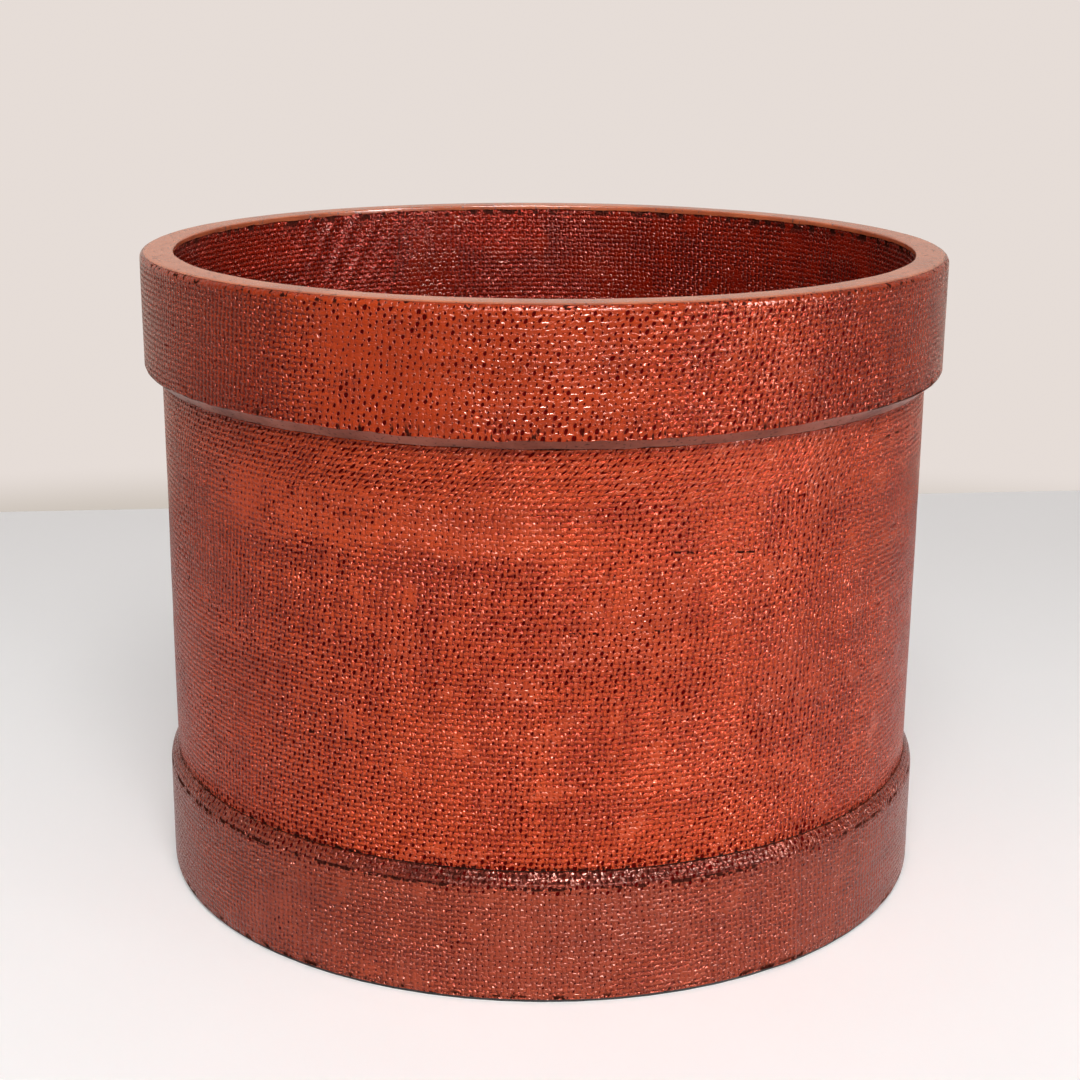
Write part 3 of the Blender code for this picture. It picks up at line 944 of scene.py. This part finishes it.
floor_cloth = disc("floor_lacquered_cloth", 0.10395, FLOOR_BED, 0.02090, seed=3, bare="top")
floor_cloth.data.materials.append(
    lacquered_cloth(
        "floor_lacquer",
        bright=(0.30, 0.026, 0.010),
        deep=(0.13, 0.008, 0.004),
        relief=0.00036,
        roughness=0.10,
        holes=0.6,
    )
)
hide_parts("floor_cloth")
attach(floor_cloth, "root")

BLACK = (0.016, 0.013, 0.012)
DEEP_BLACK = (0.009, 0.008, 0.008)

underside_cloth = disc("underside_lacquered_cloth", 0.10795, 0.01110, UNDERSIDE_BED, seed=8, bare="bottom")
underside_cloth.data.materials.append(
    lacquered_cloth(
        "underside_lacquer",
        bright=BLACK,
        deep=DEEP_BLACK,
        dark=(0.004, 0.003, 0.003),
        relief=0.00032,
        roughness=0.20,
        holes=0.6,
    )
)
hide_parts("underside_cloth")
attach(underside_cloth, "root")

# Corner putty
# Lacquer putty, drawn round both corners of the bottom board with a finger-shaped tool, then lacquered.


def smooth_lacquer(name, bright, deep, worn, roughness, wear=0.0):
    """Lacquer over putty, with no weave: brush marks, slow clouds from bright to deep, and small worn specks.

    wear gives how many specks there are, from 0 to 1.
    """
    material, tree, shader = finish(name)
    place = object_place(tree)
    clouds = mottle(tree, place, 45, 4, 0.6).rising(0.35, 0.68)
    streak = mottle(tree, round_the_axis(tree, place), 420, 3)
    coat = blend(tree, clouds, bright, deep)
    speck = mottle(tree, place, 700, 3, 0.6).rising(0.66 - wear * 0.12, 0.72 - wear * 0.1)
    plug(blend(tree, speck * 0.8, coat, worn), shader["Base Color"])
    plug(roughness + streak * 0.14 + speck * 0.2, shader["Roughness"])
    shader["IOR"].default_value = 1.5
    relief = mottle(tree, place, 160, 3) + streak * 0.25
    plug(node(tree, "Bump", 0, Distance=0.00035, Strength=0.6, Height=relief), shader["Normal"])
    return material


# the putty's back on the wall, its thickness at both edges, which is the cloth's, and the cuts in its hollow
COVE_BACK = 0.11125
COVE_EDGE = 0.0006
COVE_STEPS = 12


def cove_outline(radius, corner, upward):
    """The putty's outline in a corner of the bottom board, its hollow face turned to the middle.

    upward is 1 above the board and -1 below it.
    """
    leg = radius + COVE_EDGE
    middle = COVE_BACK - leg
    outline = [Vector((COVE_BACK, corner)), Vector((COVE_BACK, corner + upward * leg))]
    for step in range(COVE_STEPS + 1):
        angle = math.pi / 2 * step / COVE_STEPS
        out = middle + radius * math.cos(angle)
        up = corner + upward * (leg - radius * math.sin(angle))
        outline.append(Vector((out, up)))
    outline.append(Vector((middle, corner)))
    return outline if upward > 0 else outline[::-1]


def putty_unevenness(angle, radius, height):
    """Lumps in the hollow. The back lies true to the wall."""
    if radius > 0.1112:
        return 0.0, 0.0
    return 0.00010 * cloud(angle, height, 0.012, 11), 0.0


floor_cove = turned("floor_corner_lacquered_putty", cove_outline(0.0064, FLOOR_BED, 1), putty_unevenness)
floor_cove.data.materials.append(
    smooth_lacquer(
        "floor_corner_lacquer",
        bright=(0.20, 0.022, 0.011),
        deep=(0.12, 0.012, 0.008),
        worn=(0.02, 0.005, 0.004),
        roughness=0.18,
    )
)
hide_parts("floor_corner_putty")
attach(floor_cove, "root")

underside_cove = turned(
    "underside_corner_lacquered_putty", cove_outline(0.0024, UNDERSIDE_BED, -1), putty_unevenness
)
underside_cove.data.materials.append(
    smooth_lacquer(
        "underside_corner_lacquer", bright=BLACK, deep=DEEP_BLACK, worn=(0.03, 0.02, 0.016), roughness=0.20
    )
)
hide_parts("underside_corner_putty")
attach(underside_cove, "root")

# Rim hoop's planed strip
# The slope under the rim band carries no cloth, only putty and lacquer, and is smoother for it. Its coat is
# given a greyish brown.


def strip_unevenness(angle, radius, height):
    """The strip wanders up and down a little, as its lower edge was planed by hand."""
    up = 0.00020 * cloud(angle, 0, 0.008, 13) + 0.00016 * cloud(angle, 0, 0.003, 22)
    return 0.00005 * cloud(angle, height, 0.020, 12), up


strip = turned(
    "rim_strip_lacquer",
    outline_of(
        (0.11505, 0.15328, 0, 0),
        (0.11530, 0.15312, 0.0001, 0.0012),
        (0.11968, 0.15672, 0.0002, 0),
        (0.11940, 0.15684, 0, 0),
        (0.11918, 0.15670, 0, 0),
    ),
    strip_unevenness,
)
strip.data.materials.append(
    smooth_lacquer(
        "strip_lacquer",
        bright=(0.34, 0.120, 0.085),
        deep=(0.17, 0.050, 0.033),
        worn=(0.03, 0.010, 0.008),
        roughness=0.24,
        wear=0.6,
    )
)
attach(strip, "root")

# Rim edging
# Putty and several coats of lacquer over the end grain of board and band, rubbed to a low crown. It laps a
# little over the cloth on both sides.


def edging_unevenness(angle, radius, height):
    """Both sides of the edging wander in and out, and its hidden underside up and down."""
    out = 0.0
    up = 0.00005 * cloud(angle, 0, 0.025, 14)
    if radius > 0.1180:
        out = 0.00016 * cloud(angle, 0, 0.010, 15) + 0.00010 * cloud(angle, 0, 0.003, 17)
    if radius < 0.1113:
        out = 0.00030 * cloud(angle, 0, 0.022, 16) + 0.00008 * cloud(angle, 0, 0.005, 19)
    if height < 0.1893:
        up = 0.00025 * cloud(angle, 0, 0.010, 17) + 0.00015 * cloud(angle, 0, 0.0035, 18)
    return out, up


# its corners run from the inside over the top, so they are turned about for the faces to look outwards
edging = turned(
    "rim_edging_lacquer",
    outline_of(
        (0.11065, 0.18960, 0, 0),
        (0.11062, 0.18900, 0, 0),
        (0.11035, 0.18890, 0.0001, 0),
        (0.11035, 0.19030, 0.0004, 0),
        (0.11130, 0.19048, 0.0005, 0.0015),
        (0.11530, 0.19054, 0.0020, 0.0015),
        (0.11850, 0.19050, 0.0006, 0),
        (0.11900, 0.19012, 0.0002, 0),
        (0.11880, 0.18985, 0, 0),
        (0.11820, 0.18960, 0, 0),
    )[::-1],
    edging_unevenness,
)
edging.data.materials.append(
    smooth_lacquer(
        "edging_lacquer",
        bright=(0.68, 0.165, 0.062),
        deep=(0.50, 0.105, 0.038),
        worn=(0.02, 0.008, 0.007),
        roughness=0.15,
        wear=0.5,
    )
)
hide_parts("rim_edging")
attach(edging, "root")

# Stand
# A pale table top. Its colour is painted greyer towards the back and a little towards the right, as shade.
# Behind its far edge there is only the pale light of the world. It throws less light back from where a table
# would end, so that the lacquer doesn't mirror a white floor without end.
table_mesh = bpy.data.meshes.new("table_top")
table_mesh.from_pydata([(-3, -3, 0), (3, -3, 0), (3, 0.745, 0), (-3, 0.113, 0)], [], [(0, 1, 2, 3)])
table_top = bpy.data.objects.new("table_top", table_mesh)
bpy.context.collection.objects.link(table_top)
table_white, tree, shader = finish("table_white")
place = object_place(tree)
x, y, _ = parts_of(tree, place)
# painted shade: near-white in front, greyer towards the back and a little towards the right
pale_with_painted_shade = blend(tree, (y + x * 0.05).rising(-0.12, 0.44), (0.98, 0.97, 0.965), (0.76, 0.73, 0.72))
from_bucket = node(tree, "VectorMath", "Value", operation="LENGTH", Vector=place)
seen = node(tree, "LightPath", "Is Camera Ray")
beyond = from_bucket.rising(0.36, 0.52) * (1 - seen) * 0.75
plug(blend(tree, beyond + (1 - seen) * 0.15, pale_with_painted_shade, (0.10, 0.09, 0.08)), shader["Base Color"])
shader["Emission Color"].default_value = (1, 0.99, 0.98, 1)
plug(seen * 0.09, shader["Emission Strength"])
plug(0.7 + mottle(tree, place, 40) * 0.1, shader["Roughness"])
table_mesh.materials.append(table_white)

# Lights
# Pale light all round and a soft lamp in front and above light the bucket. A tall window to the right, a long
# lamp above and a wide card in front only show in its gloss.
world = bpy.data.worlds.new("studio")
bpy.context.scene.world = world
world.use_nodes = True
tree = world.node_tree
tree.nodes.remove(tree.nodes["Background"])
across, away, up = parts_of(tree, node(tree, "TexCoord", "Generated"))
# the wall seen behind the bucket is painted darker just above the table's far edge, painted shade at its foot
wall = blend(tree, up.rising(-0.253, -0.226), (0.60, 0.54, 0.48), (0.79, 0.72, 0.68))
shown = node(tree, "Background", 0, Color=wall)
behind = 0.10 + 0.72 * away.rising(-0.25, 0.35)
room_light = behind * (1 - 0.6 * across.rising(0.2, 0.9))
room = node(tree, "Background", 0, Color=(0.84, 0.74, 0.65), Strength=room_light)
ambient_light = 0.40 + 0.24 * away.rising(0.1, -0.8)
ambient = node(tree, "Background", 0, Color=(1, 1, 1), Strength=ambient_light)
seen = node(tree, "LightPath", "Is Camera Ray")
mirrored = node(tree, "LightPath", "Is Glossy Ray")
in_gloss = mirrored.maths("MAXIMUM", node(tree, "LightPath", "Is Transmission Ray"))

# the lacquer mirrors the room, the picture shows the pale wall behind the bucket, and all else is lit evenly
surroundings = ambient
for share, other in ((in_gloss, room), (seen, shown)):
    mixed = tree.nodes.new("ShaderNodeMixShader")
    for slot, value in zip(mixed.inputs, (share, surroundings, other)):
        plug(value, slot)
    surroundings = Wire(tree, mixed.outputs[0])
plug(surroundings, tree.nodes["World Output"].inputs["Surface"])


def lamp(name, place, size, height, power, gloss):
    """A soft lamp turned to the bucket. One for gloss only shows in the lacquer, any other only lights it."""
    data = bpy.data.lights.new(name, "AREA")
    data.shape = "RECTANGLE"
    data.size = size
    data.size_y = height
    data.energy = power
    made = bpy.data.objects.new(name, data)
    made.location = place
    made.rotation_euler = (Vector(place) - Vector((0, 0, 0.1))).to_track_quat("Z", "Y").to_euler()
    made.visible_diffuse = not gloss
    made.visible_glossy = gloss
    bpy.context.collection.objects.link(made)


lamp("window", (1.55, -0.90, 0.75), 0.45, 1.3, 100.0, gloss=True)
lamp("soft_lamp", (0.10, -1.45, 1.75), 1.0, 0.8, 23.5, gloss=False)
lamp("long_lamp", (0.25, -1.78, 1.68), 1.2, 0.26, 220.0, gloss=True)
lamp("front_card", (0.0, -1.75, 0.95), 1.5, 0.7, 55.0, gloss=True)

bpy.context.scene.view_settings.view_transform = "Standard"
